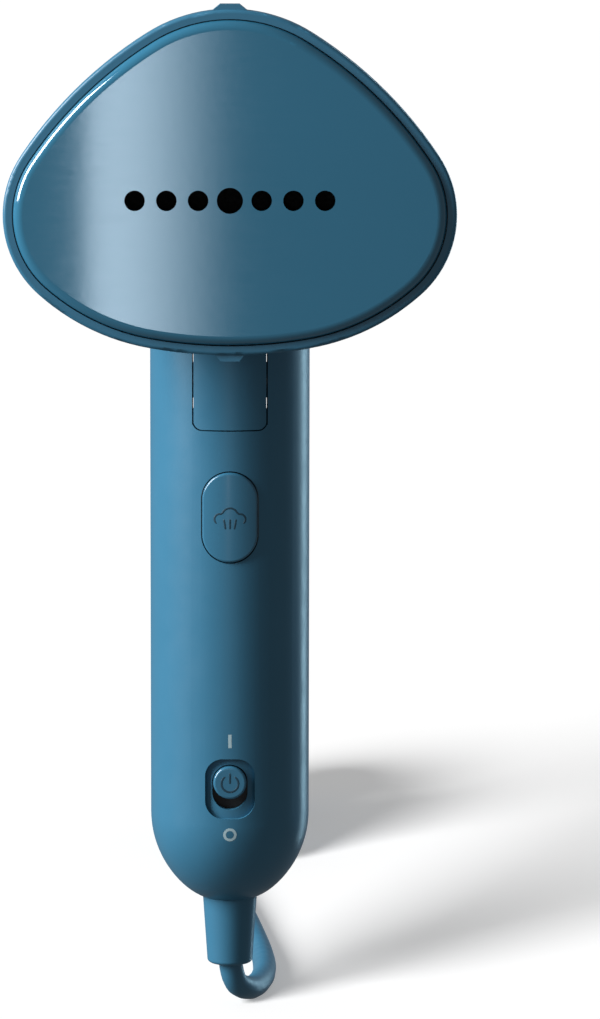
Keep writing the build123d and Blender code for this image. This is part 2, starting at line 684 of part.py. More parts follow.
def steam_button():
    button = stadium(BUTTON_WIDTH, BUTTON_LENGTH, -30, BUTTON_FLANGE_FRONT + 0.1, BUTTON_HEIGHT)
    button &= rod_z(HANDLE_RADIUS + BUTTON_PROUD, 0, 0, 60, 160)
    button &= block((-20, 20), (-30, 0), (60, 160))
    front = [e for e in button.edges() if e.center().Y < 1.7 - HANDLE_RADIUS]
    button = fillet(front, 0.7)
    button += stadium(
        BUTTON_WIDTH + 2.4,
        BUTTON_LENGTH + 2.4,
        BUTTON_FLANGE_FRONT,
        BUTTON_FLANGE_BACK,
        BUTTON_HEIGHT,
    )
    button += rod_y(2.2, 0, BUTTON_FLANGE_BACK, PLUNGER_FRONT, BUTTON_HEIGHT)
    return button


def button_spring():
    length = SEAT_FRONT - BUTTON_FLANGE_BACK - 1.0
    spring = coil_spring(4.2, 0.35, length, 3.5)
    return Pos(0, BUTTON_FLANGE_BACK + 0.5 + length, BUTTON_HEIGHT) * Rot(90, 0, 0) * spring


def button_bracket():
    plate = block((-8.5, 8.5), (SEAT_FRONT, SEAT_FRONT + 1.2), (BUTTON_HEIGHT - 5.5, BUTTON_HEIGHT + 5.0))
    for side in (-1, 1):
        leg = sorted((side * 7.2, side * 8.5))
        plate += block(leg, (SEAT_FRONT, BOARD_FRONT), (BUTTON_HEIGHT - 5.5, BUTTON_HEIGHT + 5.0))
    return plate - rod_y(1.6, 0, -20, 0, BUTTON_HEIGHT)


def micro_switch():
    body = block((-6.4, 6.4), (SEAT_FRONT + 1.2, SWITCH_BACK), (BUTTON_HEIGHT - 3.2, BUTTON_HEIGHT + 3.2))
    body -= rod_y(1.6, 0, SEAT_FRONT - 4, SEAT_FRONT + 5.2, BUTTON_HEIGHT)
    for x in (-5.0, 0.0, 5.0):
        leg_height = (BUTTON_HEIGHT - 1.2, BUTTON_HEIGHT + 1.2)
        body += block((x - 0.4, x + 0.4), (SWITCH_BACK, BOARD_FRONT), leg_height)
    return body


def switch_plunger():
    return rod_y(1.25, 0, PLUNGER_FRONT, SEAT_FRONT + 2.6, BUTTON_HEIGHT)


# Power slide

def power_knob():
    knob = rod_y(KNOB_RADIUS, 0, KNOB_FACE, CARRIAGE_FRONT, KNOB_HEIGHT)
    return fillet(front_edges(knob, KNOB_FACE), 0.7)


def slide_carriage():
    plate = block((-7.5, 7.5), (CARRIAGE_FRONT, CARRIAGE_BACK), (KNOB_HEIGHT - 8.0, KNOB_HEIGHT + 8.0))
    return plate + block((-1.5, 1.5), (CARRIAGE_BACK, LEVER_BACK), (KNOB_HEIGHT - 1.8, KNOB_HEIGHT + 1.8))


def power_switch():
    body = block((-6.5, 6.5), (CARRIAGE_BACK + 1.5, BOARD_FRONT), (30.5, 45.5))
    slot_low = KNOB_HEIGHT - 1.8 - SLIDE_TRAVEL - 0.4
    return body - block((-1.9, 1.9), (CARRIAGE_BACK, LEVER_BACK + 0.4), (slot_low, KNOB_HEIGHT + 1.8 + 0.4))


# Circuit board and wiring

def circuit_board():
    back = BOARD_FRONT + BOARD_THICKNESS
    board = block((-BOARD_HALF_WIDTH, BOARD_HALF_WIDTH), (BOARD_FRONT, back), (BOARD_BOTTOM, BOARD_TOP))
    for z in (56.0, 102.0):
        board -= rod_y(1.3, 0, BOARD_FRONT - 1, back + 1, z)
    return board


def board_screws():
    return group([rod_y(1.0, 0, BOARD_FRONT, 13.0, z) + rod_y(1.9, 0, BOARD_FRONT - 1.4, BOARD_FRONT, z)
                  for z in (56.0, 102.0)])


def board_components():
    """A relay, a filter capacitor and a fuse on the board's front."""
    relay = block((-9.0, 1.0), (-8.0, BOARD_FRONT), (62.0, 80.0))
    capacitor = block((2.5, 9.0), (-6.0, BOARD_FRONT), (62.0, 79.0))
    fuse = rod_z(2.6, -5.0, BOARD_FRONT - 3.2, 83.0, 97.0)
    for z in (84.5, 95.5):
        fuse += block((-6.0, -4.0), (BOARD_FRONT - 1.5, BOARD_FRONT), (z - 1, z + 1))
    return group([relay, capacitor, fuse])


def terminal_block():
    body = block((-8.0, 8.0), (-4.0, BOARD_FRONT), (22.0, 29.5))
    for x in (-5.0, 0.0, 5.0):
        body -= rod_y(1.5, x, -5.0, -1.5, 25.8)
    return body


def cord_conductors():
    return group([rod_z(0.9, x, 0, CORD_INNER_END, 22.0) for x in (-2.1, 0.0, 2.1)])


def handle_harness():
    return pipe([(8.0, 2.4, 99.0), (15.5, 0.0, 108.0), (18.2, 0.0, 122.0), (18.2, 0.0, HINGE_HEIGHT),
                 (9.0, 0.0, HINGE_HEIGHT)], 2.8, 1.4)


def head_harness():
    route = [
        (9.0, 0.0, HINGE_HEIGHT),
        (3.5, 0.0, HINGE_HEIGHT),
        (3.5, -12.0, HINGE_HEIGHT + 12.0),
        (3.5, -12.0, WIRE_HOLE[1]),
        (WIRE_HOLE[0], -20.0, WIRE_HOLE[1]),
        (WIRE_HOLE[0], -36.0, WIRE_HOLE[1]),
    ]
    return pipe(route, 2.6, 1.4)


# Pump

def pump_body():
    half = PUMP_HALF_LENGTH
    body = rod_x(PUMP_RADIUS, -half, half, PUMP_Y, PUMP_HEIGHT)
    body += rod_x(SPIGOT_RADIUS, -half - 7, half + 7, PUMP_Y, PUMP_HEIGHT)
    body -= rod_x(PUMP_BORE, -half + 2, half - 2, PUMP_Y, PUMP_HEIGHT)
    return body - rod_x(1.2, -half - 8, half + 8, PUMP_Y, PUMP_HEIGHT)


def pump_coil():
    coil = rod_x(12.0, -10, 10, PUMP_Y, PUMP_HEIGHT)
    return coil - rod_x(PUMP_RADIUS + FIT_GAP, -11, 11, PUMP_Y, PUMP_HEIGHT)


def pump_piston():
    piston = rod_x(PUMP_BORE - 0.08, -12.0, 2.0, PUMP_Y, PUMP_HEIGHT)
    return piston - rod_x(1.2, -13, 3, PUMP_Y, PUMP_HEIGHT)


def pump_spring():
    length = PUMP_HALF_LENGTH - 2 - 2.0 - 1.2
    spring = coil_spring(3.6, 0.45, length, 7)
    return Pos(2.6, PUMP_Y, PUMP_HEIGHT) * Rot(0, 90, 0) * spring


def suction_hose():
    return pipe([(0, -11.0, DOCK_HEIGHT), (0, -21.0, DOCK_HEIGHT), (-36.0, -21.0, DOCK_HEIGHT),
                 (-36.0, PUMP_Y, PUMP_HEIGHT), (-21.0, PUMP_Y, PUMP_HEIGHT)], 5.0, HOSE_RADIUS, HOSE_BORE)


def pressure_hose():
    return pipe([(21.0, PUMP_Y, PUMP_HEIGHT), (36.0, PUMP_Y, PUMP_HEIGHT), (36.0, -23.0, INLET[1]),
                 (INLET[0], -23.0, INLET[1]), (INLET[0], -36.0, INLET[1])], 5.0, HOSE_RADIUS, HOSE_BORE)


# Tank

def tank_front():
    wall = slab(TANK_FRONT, TANK_FRONT + TANK_WALL, 0.0, NECK_SCALE)
    wall += rod_y(TANK_SPIGOT_RADIUS, 0, -7.0, TANK_FRONT + TANK_WALL, DOCK_HEIGHT)
    return wall - rod_y(2.7, 0, -8.0, TANK_FRONT + TANK_WALL + 1, DOCK_HEIGHT)


def door_axis():
    """Depth and height of the filler door's pin."""
    return TANK_BACK - DOOR_THICKNESS / 2, DOOR_CENTRE - DOOR_HEIGHT / 2 + DOOR_THICKNESS / 2


def tank_shell():
    start = TANK_FRONT + TANK_WALL
    shell = slab(start, TANK_BACK, 0.0, NECK_SCALE)
    shell = fillet(front_edges(shell, TANK_BACK), TANK_EDGE)
    hollow = slab(start - 1, TANK_BACK - TANK_WALL, TANK_WALL, NECK_SCALE)
    hollow = fillet(front_edges(hollow, TANK_BACK - TANK_WALL), TANK_EDGE - TANK_WALL)
    floor = TANK_BACK - DOOR_THICKNESS - 0.4
    pocket = (DOOR_WIDTH / 2 + DOOR_GAP, DOOR_HEIGHT / 2 + DOOR_GAP + 0.2)
    hollow -= block((-pocket[0] - TANK_WALL, pocket[0] + TANK_WALL), (floor - TANK_WALL, TANK_BACK),
                    (DOOR_CENTRE - pocket[1] - TANK_WALL, DOOR_CENTRE + pocket[1] + TANK_WALL))
    shell -= hollow
    shell -= block((-pocket[0], pocket[0]), (floor, TANK_BACK + 1),
                   (DOOR_CENTRE - pocket[1], DOOR_CENTRE + pocket[1]))
    shell -= rod_y(PORT_RADIUS, 0, floor - 5, TANK_BACK, PORT_HEIGHT)
    y, z = door_axis()
    return shell - rod_x(0.55, -pocket[0] - 1.5, pocket[0] + 1.5, y, z)


def filler_door():
    y, z = door_axis()
    half = DOOR_WIDTH / 2
    door = block((-half, half), (TANK_BACK - DOOR_THICKNESS, TANK_BACK), (z, DOOR_CENTRE + DOOR_HEIGHT / 2))
    corners = [e for e in door.edges().filter_by(Axis.Y) if e.center().Z > DOOR_CENTRE]
    door = fillet(corners, 3.0)
    door += rod_x(DOOR_THICKNESS / 2, -half, half, y, z)
    door -= rod_x(0.55, -half - 1, half + 1, y, z)
    grip = rod_x(1.6, -4.0, 4.0, TANK_BACK + 0.9, DOOR_CENTRE + DOOR_HEIGHT / 2 - 2.5)
    return door - grip


def filler_door_pin():
    y, z = door_axis()
    return rod_x(0.5, -DOOR_WIDTH / 2 - 1.6, DOOR_WIDTH / 2 + 1.6, y, z)


def filler_seal():
    back = TANK_BACK - DOOR_THICKNESS
    return rod_y(PORT_RADIUS - 0.5, 0, back - 1.9, back, PORT_HEIGHT)


def tank_valve():
    body = rod_y(2.6, 0, -6.8, 1.0, DOCK_HEIGHT)
    return body - rod_y(1.5, 0, -5.0, 2.0, DOCK_HEIGHT)


# Cord

def cord_guard():
    guard = guard_cone(0.0, GUARD_END, GUARD_FLANGE_BOTTOM + 0.5)
    guard = fillet([e for e in guard.edges() if abs(e.center().Z - GUARD_END) < 0.01], 1.1)
    guard += rod_z(GUARD_FLANGE_RADIUS, 0, 0, GUARD_FLANGE_BOTTOM, GUARD_FLANGE_BOTTOM + 2)
    return guard - rod_z(CORD_RADIUS + FIT_GAP, 0, 0, GUARD_END - 1, GUARD_FLANGE_BOTTOM + 3)


def cord_radii(points):
    """The radius of each bend: 0.45 of its shorter run, over the tangent of half its turn."""
    vectors = [Vector(*b) - Vector(*a) for a, b in zip(points, points[1:])]
    radii = []
    for before, after in zip(vectors, vectors[1:]):
        half_turn = math.radians(before.get_angle(after)) / 2
        radii.append(0.45 * min(before.length, after.length) / math.tan(half_turn))
    return radii


def cord_tube(points, name):
    radii = cord_radii(points)
    path = FilletPolyline(*points, radius=radii)
    start = Plane(origin=path @ 0, z_dir=path % 0)
    tube = sweep(start * Circle(CORD_RADIUS), path=path)
    expected = math.pi * CORD_RADIUS ** 2 * path.length
    print(name, "radii", [round(r, 1) for r in radii], "length", round(path.length, 1),
          "volume ratio", round(tube.volume / expected, 4))
    return tube


def cord_inner_length():
    return rod_z(CORD_RADIUS, 0, 0, CORD_START, CORD_INNER_END)


def cord_clamp():
    bar = block((-12, 12), (-6.5, -0.1), (13.2, 18.8))
    bar -= rod_z(CORD_RADIUS + FIT_GAP, 0, 0, 5, 25)
    for x in (-8.5, 8.5):
        bar -= rod_y(SCREW_RADIUS + 0.2, x, -10, 1, 16.0)
    return bar


def cord_clamp_screws():
    return group([rod_y(SCREW_RADIUS, x, -6.5, 6.0, 16.0) + rod_y(SCREW_HEAD_RADIUS, x, -8.3, -6.5, 16.0)
                  for x in (-8.5, 8.5)])


def cord_hank():
    """The folded cord's outer shape: two end loops drawn in at the middle by the tie."""
    low = CORD_Z - CORD_RADIUS
    reach = HANK_LOBE_RADIUS + CORD_RADIUS
    waist = HANK_WAIST + CORD_RADIUS
    near = TIE_WIDTH / 2 + 1
    far = HANK_LOBE_Y - HANK_FLARE
    corners = [(waist, near), (reach - 0.5, far), (0.5 - reach, far), (-waist, near),
               (-waist, -near), (0.5 - reach, -far), (reach - 0.5, -far), (waist, -near)]
    face = make_face(Polyline(*[(x, HANK_CENTRE_Y + y, low) for x, y in corners], close=True))
    hank = extrude(face, amount=HANK_TOP - low, dir=(0, 0, 1))
    for side in (-1, 1):
        hank += rod_z(reach, 0, HANK_CENTRE_Y + side * HANK_LOBE_Y, low, HANK_TOP)
    return hank


def cord_tie():
    low = CORD_Z - CORD_RADIUS
    waist = HANK_WAIST + CORD_RADIUS + 0.1
    y = (HANK_CENTRE_Y - TIE_WIDTH / 2, HANK_CENTRE_Y + TIE_WIDTH / 2)
    outer = block((-waist - TIE_WALL, waist + TIE_WALL), y, (low, HANK_TOP + TIE_WALL))
    return outer - block((-waist, waist), (y[0] - 1, y[1] + 1), (low - 1, HANK_TOP + 0.1))


def plug_place():
    """Where the cord enters the plug's relief; the plug is built along +Y from there."""
    return Pos(*RELIEF_START) * Rot(0, 0, PLUG_HEADING)


def plug_body():
    start, end = RELIEF_LENGTH, RELIEF_LENGTH + PLUG_LENGTH
    body = rod_y(PLUG_RADIUS, 0, start, end, 0)
    body = fillet(front_edges(body, start), PLUG_BACK_ROUNDING)
    body = fillet(front_edges(body, end), PLUG_FACE_ROUNDING)
    for side in (-1, 1):
        x = sorted((side * (PLUG_RADIUS - PLUG_GROOVE_DEPTH), side * (PLUG_RADIUS + 2)))
        groove_height = (-PLUG_GROOVE_WIDTH / 2, PLUG_GROOVE_WIDTH / 2)
        body -= block(x, (start + PLUG_GROOVE_START, end + 1), groove_height)
    for x in (-PLUG_PIN_SPACING / 2, PLUG_PIN_SPACING / 2):
        body -= rod_y(PLUG_PIN_ROOT_RADIUS + FIT_GAP, x, end - PLUG_PIN_ROOT, end + 1, 0)
    return plug_place() * body


def plug_pins():
    face = RELIEF_LENGTH + PLUG_LENGTH
    tip = face + PLUG_PIN_LENGTH
    pins = []
    for x in (-PLUG_PIN_SPACING / 2, PLUG_PIN_SPACING / 2):
        pin = rod_y(PLUG_PIN_RADIUS, x, face, tip, 0)
        pin = fillet(front_edges(pin, tip), PLUG_PIN_TIP)
        pins.append(plug_place() * (pin + rod_y(PLUG_PIN_ROOT_RADIUS, x, face - PLUG_PIN_ROOT, face, 0)))
    return group(pins)


def plug_relief():
    cone = Cone(CORD_RADIUS + 1.2, RELIEF_RADIUS, RELIEF_LENGTH)
    cone = Pos(0, RELIEF_LENGTH / 2, 0) * Rot(-90, 0, 0) * cone
    return plug_place() * cone


def build():
    nodes["steam_plate"] = steam_plate()
    nodes["plate_seal"] = plate_seal()
    nodes["steam_chamber_base"] = steam_chamber_base()
    nodes["heating_element"] = heating_element()
    nodes["chamber_gasket"] = chamber_gasket()
    nodes["steam_chamber_cover"] = steam_chamber_cover()
    nodes["chamber_screws"] = chamber_screws()
    nodes["thermostat"] = thermostat()
    nodes["thermal_fuse"] = thermal_fuse()
    nodes["heat_shield"] = heat_shield()
    nodes["head_front_housing"] = head_front_housing()
    nodes["head_rear_cover"] = head_rear_cover()
    nodes["head_screws"] = head_screws()
    nodes["dock_ring"] = dock_ring()
    nodes["hinge_neck"] = hinge_neck()
    nodes["hinge_bushes"] = hinge_bushes()
    nodes["head_harness"] = head_harness()
    nodes["pump_body"] = pump_body()
    nodes["pump_coil"] = pump_coil()
    nodes["pump_piston"] = pump_piston()
    nodes["pump_spring"] = pump_spring()
    nodes["suction_hose"] = suction_hose()
    nodes["pressure_hose"] = pressure_hose()
    nodes["tank_front"] = tank_front()
    nodes["tank_shell"] = tank_shell()
    nodes["tank_valve"] = tank_valve()
    nodes["filler_door"] = filler_door()
    nodes["filler_door_pin"] = filler_door_pin()
    nodes["filler_seal"] = filler_seal()
    whole = handle_shell()
    nodes["handle_front_shell"] = handle_front_shell(whole)
    nodes["handle_rear_shell"] = handle_rear_shell(whole)
    nodes["handle_screws"] = handle_screws()
    nodes["hinge_pins"] = hinge_pins()
    nodes["detent_spring"] = detent_spring()
    nodes["switch_marks"] = switch_marks()
    nodes["steam_button"] = steam_button()
    nodes["switch_plunger"] = switch_plunger()
    nodes["button_spring"] = button_spring()
    nodes["button_bracket"] = button_bracket()
    nodes["micro_switch"] = micro_switch()
    nodes["power_knob"] = power_knob()
    nodes["slide_carriage"] = slide_carriage()
    nodes["power_switch"] = power_switch()
    nodes["circuit_board"] = circuit_board()
    nodes["board_screws"] = board_screws()
    nodes["board_components"] = board_components()
    nodes["terminal_block"] = terminal_block()
    nodes["handle_harness"] = handle_harness()
    nodes["cord_conductors"] = cord_conductors()
    nodes["cord_inner_length"] = cord_inner_length()
    nodes["cord_clamp"] = cord_clamp()
    nodes["cord_clamp_screws"] = cord_clamp_screws()
    nodes["cord_guard"] = cord_guard()
    nodes["power_cord"] = cord_tube(CORD_ROUTE, "power_cord")
    nodes["cord_hank"] = cord_hank()
    nodes["cord_tie"] = cord_tie()
    nodes["cord_tail"] = cord_tube(TAIL_ROUTE, "cord_tail")
    nodes["plug_relief"] = plug_relief()
    nodes["plug_body"] = plug_body()
    nodes["plug_pins"] = plug_pins()


os.makedirs("parts", exist_ok=True)
build()
for name, shape in nodes.items():
    export_step(Pos(0, 0, -GRIP_HEIGHT) * shape, f"parts/{name}.step")
print(len(nodes), "nodes")
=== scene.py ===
"""A folding garment steamer: the looks of its pieces, its cord, its stage and its lights.

Laid out as an add-on. The colours and sizes that a user would change are in SteamerSettings, each group
of pieces has an operator, and main() runs them all in order. Lengths are in millimetres and heights are
counted from the handle's lower end, until row() or surface() turns them into metres about the grip.
"""

import math

import bpy
import numpy as np
from bpy.props import FloatProperty, FloatVectorProperty, PointerProperty
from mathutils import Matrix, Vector


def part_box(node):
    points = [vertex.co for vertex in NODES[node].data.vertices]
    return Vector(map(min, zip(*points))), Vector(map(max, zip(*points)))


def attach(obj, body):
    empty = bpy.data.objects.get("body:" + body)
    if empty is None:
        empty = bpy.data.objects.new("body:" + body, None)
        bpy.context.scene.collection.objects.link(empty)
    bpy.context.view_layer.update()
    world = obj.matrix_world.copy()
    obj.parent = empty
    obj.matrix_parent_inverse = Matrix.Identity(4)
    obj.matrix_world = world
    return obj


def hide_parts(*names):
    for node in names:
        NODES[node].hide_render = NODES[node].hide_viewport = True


bl_info = {
    "name": "Garment Steamer",
    "version": (1, 0, 0),
    "blender": (4, 5, 0),
    "location": "3D View > Sidebar > Steamer",
    "description": "Finishes, cord, stage and lights of a folding garment steamer",
    "category": "Object",
}

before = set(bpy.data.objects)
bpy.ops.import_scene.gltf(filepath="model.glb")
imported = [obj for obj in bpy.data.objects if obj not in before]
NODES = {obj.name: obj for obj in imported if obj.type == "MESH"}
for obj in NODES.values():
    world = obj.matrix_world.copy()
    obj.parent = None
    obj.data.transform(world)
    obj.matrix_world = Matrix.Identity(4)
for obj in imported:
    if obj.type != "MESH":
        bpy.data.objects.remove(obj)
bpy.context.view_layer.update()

MM = 0.001
GRIP_HEIGHT = 75.0          # the grip's origin above the handle's lower end, in millimetres


def row(x, y, height):
    """Millimetres, with the height counted from the handle's lower end, to metres about the grip."""
    return Vector((x * MM, y * MM, (height - GRIP_HEIGHT) * MM))


# The cord's route

CORD_RADIUS = 3.35
FLOOR = -31.4
CORD_HEIGHT = -28.0
HANK_CENTRE = 248.0
HANK_LOBE = 36.0            # from the hank's middle to the middle of each end loop
HANK_FOLD = 21.4            # radius of a fold's control points
HANK_FOLD_ANGLES = (172, 131, 90, 49, 8)
HANK_LEG = ((-17.5, -27.0), (-3.8, -8.0), (-3.8, 8.0), (-17.5, 27.0))
HANK_HALF_TURNS = 11
HANK_RISE = 6.8             # height gained in one turn
HANK_TOP = CORD_HEIGHT - CORD_RADIUS + HANK_HALF_TURNS / 2 * HANK_RISE
PLUG_RADIUS = 18.5
PLUG_LIFT = 1.5             # the tie's thickness and a gap, between the hank and the plug
PLUG_HEIGHT = HANK_TOP + PLUG_RADIUS + PLUG_LIFT

CORD_ROUTE = (
    (0.0, 0.0, -12.6),
    (0.0, 0.0, -23.0),
    (5.6, 8.0, CORD_HEIGHT),
    (9.9, 24.0, CORD_HEIGHT),
    (10.2, 46.0, CORD_HEIGHT),
    (7.6, 76.0, CORD_HEIGHT),
    (4.0, 112.0, CORD_HEIGHT),
    (-1.5, 151.0, CORD_HEIGHT),
    (-13.0, HANK_CENTRE - 56.0, CORD_HEIGHT),
)
TAIL_ROUTE = (
    (19.0, HANK_CENTRE + HANK_LOBE, HANK_TOP + CORD_RADIUS),
    (16.6, HANK_CENTRE + 23.0, HANK_TOP + CORD_RADIUS + 3.0),
    (10.3, HANK_CENTRE + 8.0, PLUG_HEIGHT - 2.0),
    (7.5, HANK_CENTRE - 4.0, PLUG_HEIGHT),
)


def half_turn(count):
    """Half a turn of the hank: a leg drawn in by the tie, then a fold on a circle about the lobe's middle.

    Every other half runs the other way, and the height rises evenly, by HANK_RISE a turn."""
    angles = [math.radians(angle) for angle in HANK_FOLD_ANGLES]
    fold = [(HANK_FOLD * math.cos(a), HANK_LOBE + HANK_FOLD * math.sin(a)) for a in angles]
    plan = list(HANK_LEG) + fold
    side = 1 - 2 * (count % 2)
    points = []
    for step, (x, y) in enumerate(plan):
        height = CORD_HEIGHT + HANK_RISE / 2 * (count + step / len(plan))
        points.append((side * x, HANK_CENTRE + side * y, height))
    return points


# Surfaces worked out as arrays

def surface(name, points, material, body, closed_along=False, closed_across=False):
    """A grid of points (along, across, xyz) joined by quads.

    A tube with open ends has each end closed by a face with all of its ring's points."""
    along, across = points.shape[:2]
    rows = np.arange(along if closed_along else along - 1)[:, None]
    columns = np.arange(across if closed_across else across - 1)[None, :]
    next_row, next_column = (rows + 1) % along, (columns + 1) % across
    corners = [
        rows * across + columns,
        rows * across + next_column,
        next_row * across + next_column,
        next_row * across + columns,
    ]
    faces = np.stack(corners, axis=-1).reshape(-1, 4).tolist()
    if closed_across and not closed_along:
        faces.append(np.arange(across)[::-1].tolist())
        faces.append(((along - 1) * across + np.arange(across)).tolist())
    places = (points.reshape(-1, 3) - (0.0, 0.0, GRIP_HEIGHT)) * MM
    mesh = bpy.data.meshes.new(name)
    mesh.from_pydata(places.tolist(), [], faces)
    mesh.polygons.foreach_set("use_smooth", np.ones(len(mesh.polygons), dtype=bool))
    mesh.update()
    mesh.materials.append(material)
    piece = bpy.data.objects.new(name, mesh)
    bpy.context.scene.collection.objects.link(piece)
    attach(piece, body)
    return piece


def arc(centre, radius, start, end, count=16):
    """Points (x, height) on a circle from one angle to another, in degrees from +X towards up."""
    angles = np.radians(np.linspace(start, end, count))
    return np.stack([centre[0] + radius * np.cos(angles), centre[1] + radius * np.sin(angles)], axis=-1)


MARK_RISE = 0.05
MARK_SIDES = 12


def stroke(path, width, depth_at):
    """A thin rounded rib along a path of (x, height) points.

    Its section is a closed oval: the half width times a cosine across the path, and MARK_RISE times a sine
    out from the surface that depth_at gives. The oval shrinks over both ends, as a pen's stroke does."""
    run = np.gradient(path, axis=0)
    run /= np.linalg.norm(run, axis=1, keepdims=True)
    side = np.stack([-run[:, 1], run[:, 0]], axis=-1)
    share = np.linspace(-1.0, 1.0, len(path))
    half = width / 2 * np.sqrt(np.clip(1.02 - np.abs(share) ** 14, 0.02, 1.0))
    turn = np.linspace(0.0, 2 * np.pi, MARK_SIDES, endpoint=False)
    flat = path[:, None, :] + side[:, None, :] * (half[:, None] * np.cos(turn))[..., None]
    rise = MARK_RISE * np.sin(turn)[None, :] * (half / half.max())[:, None]
    depth = depth_at(flat[..., 0]) - rise
    return np.stack([flat[..., 0], depth, flat[..., 1]], axis=-1)


# Node trees

class Tree:
    """A material's nodes, added one at a time and joined by name."""

    def __init__(self, name):
        self.material = bpy.data.materials.new(name)
        self.material.use_nodes = True
        self.nodes = self.material.node_tree.nodes
        self.links = self.material.node_tree.links
        self.shader = self.nodes["Principled BSDF"]
        self.place = self.nodes.new("ShaderNodeTexCoord").outputs["Object"]

    def add(self, kind, inputs=(), **settings):
        node = self.nodes.new(kind)
        for key, value in settings.items():
            setattr(node, key, value)
        for socket, value in dict(inputs).items():
            if isinstance(value, bpy.types.NodeSocket):
                self.links.new(value, node.inputs[socket])
            else:
                node.inputs[socket].default_value = value
        return node

    def stretch(self, scale):
        return self.add("ShaderNodeMapping", {"Vector": self.place, "Scale": scale}).outputs["Vector"]

    def noise(self, scale, detail=3.0, rough=0.5, vector=None):
        inputs = {"Vector": vector or self.place, "Scale": scale, "Detail": detail, "Roughness": rough}
        return self.add("ShaderNodeTexNoise", inputs).outputs["Fac"]

    def remap(self, value, low, high, new_low, new_high):
        inputs = {"Value": value, "From Min": low, "From Max": high, "To Min": new_low, "To Max": new_high}
        return self.add("ShaderNodeMapRange", inputs).outputs["Result"]

    def blend(self, share, first, second):
        node = self.add("ShaderNodeMix", {"Factor": share, "A": first, "B": second}, data_type="RGBA")
        return node.outputs[2]

    def bump(self, height, depth, strength):
        inputs = {"Height": height, "Distance": depth, "Strength": strength}
        return self.add("ShaderNodeBump", inputs).outputs["Normal"]

    def finish(self, **sockets):
        for name, value in sockets.items():
            socket = self.shader.inputs[name.replace("_", " ")]
            if isinstance(value, bpy.types.NodeSocket):
                self.links.new(value, socket)
            else:
                socket.default_value = value
        return self.material


def shade(colour, factor):
    return tuple(min(1.0, channel * factor) for channel in colour[:3]) + (1.0,)


def moulded(name, colour, rough, grain=1400.0, depth=0.00002, coat=0.0, patch=0.05):
    """Moulded plastic: a fine spark-eroded grain, faint patches in colour and a slightly uneven gloss."""
    tree = Tree(name)
    patches = tree.noise(38.0, 4.0)
    tone = tree.blend(patches, shade(colour, 1 - patch), shade(colour, 1 + patch))
    gloss = tree.remap(tree.noise(160.0, 3.0), 0.3, 0.7, rough - 0.03, rough + 0.03)
    fine = tree.bump(tree.noise(grain, 2.0, 0.6), depth, 0.6)
    return tree.finish(
        Base_Color=tone,
        Roughness=gloss,
        Normal=fine,
        Coat_Weight=coat,
        Coat_Roughness=0.12,
        Specular_IOR_Level=0.38,
    )


def coated_plate(name, colour):
    """A glossy fired coating over cast metal: a faint orange peel and thin rubbing marks."""
    tree = Tree(name)
    tone = tree.blend(tree.noise(22.0, 3.0), shade(colour, 0.96), shade(colour, 1.05))
    rubs = tree.noise(120.0, 4.0, 0.7, tree.stretch((1.0, 1.0, 9.0)))
    gloss = tree.remap(rubs, 0.35, 0.75, 0.05, 0.08)
    peel = tree.bump(tree.noise(420.0, 1.0), 0.000004, 0.5)
    return tree.finish(
        Base_Color=tone,
        Roughness=gloss,
        Normal=peel,
        Coat_Weight=0.6,
        Coat_Roughness=0.06,
        Metallic=0.12,
    )


def metal(name, colour, rough, stretch=(1.0, 1.0, 1.0), grain=700.0, depth=0.00003):
    """Metal with a directional or pebbled surface and uneven dulling."""
    tree = Tree(name)
    lines = tree.noise(grain, 4.0, 0.6, tree.stretch(stretch))
    tone = tree.blend(tree.noise(60.0), shade(colour, 0.88), shade(colour, 1.08))
    gloss = tree.remap(lines, 0.3, 0.7, rough - 0.06, rough + 0.1)
    return tree.finish(Base_Color=tone, Metallic=1.0, Roughness=gloss, Normal=tree.bump(lines, depth, 0.5))


PAINTED_SHADE_DEPTH = -39.0         # depth (Y) up to which the chamber's front is painted black, as painted shade seen through the steam holes
PAINTED_SHADE_EDGE = 0.4


def casting_with_painted_shade(name, colour):
    """A pebbled casting whose front, behind the steam holes, is painted black: painted shade that makes the
    holes look dark.
    """
    tree = Tree(name)
    depth = tree.add("ShaderNodeSeparateXYZ", {"Vector": tree.place}).outputs["Y"]
    # Painted shade: the front up to this depth is near black and not metallic, standing in for the shade
    # inside the steam holes.
    outside_painted_shade = tree.remap(depth, (PAINTED_SHADE_DEPTH - PAINTED_SHADE_EDGE) * MM, PAINTED_SHADE_DEPTH * MM, 0.0, 1.0)
    pebbles = tree.noise(1200.0, 4.0, 0.6)
    tone = tree.blend(outside_painted_shade, (0.002, 0.002, 0.002, 1.0), shade(colour, 1.0))
    return tree.finish(
        Base_Color=tone,
        Metallic=outside_painted_shade,
        Roughness=tree.remap(pebbles, 0.3, 0.7, 0.5, 0.8),
        Normal=tree.bump(pebbles, 0.00005, 0.5),
        Specular_IOR_Level=0.2,
    )


def soft_rubber(name, colour, rough=0.55, grain=900.0):
    """Silicone or rubber: a matt skin with a fine velvet grain and faint dust."""
    tree = Tree(name)
    tone = tree.blend(tree.noise(90.0, 5.0), shade(colour, 0.9), shade(colour, 1.1))
    gloss = tree.remap(tree.noise(240.0), 0.3, 0.7, rough - 0.06, rough + 0.06)
    return tree.finish(Base_Color=tone, Roughness=gloss, Normal=tree.bump(tree.noise(grain), 0.00003, 0.5))


def tinted_tank(name, colour):
    """Clear tinted plastic: light passes through it, and its skin is polished with faint handling marks."""
    tree = Tree(name)
    tone = tree.blend(tree.noise(30.0), shade(colour, 0.92), shade(colour, 1.08))
    gloss = tree.remap(tree.noise(180.0, 5.0), 0.3, 0.8, 0.08, 0.2)
    return tree.finish(
        Base_Color=tone,
        Roughness=gloss,
        Normal=tree.bump(tree.noise(300.0), 0.000006, 0.4),
        Transmission_Weight=0.45,
        IOR=1.49,
        Coat_Weight=0.3,
    )


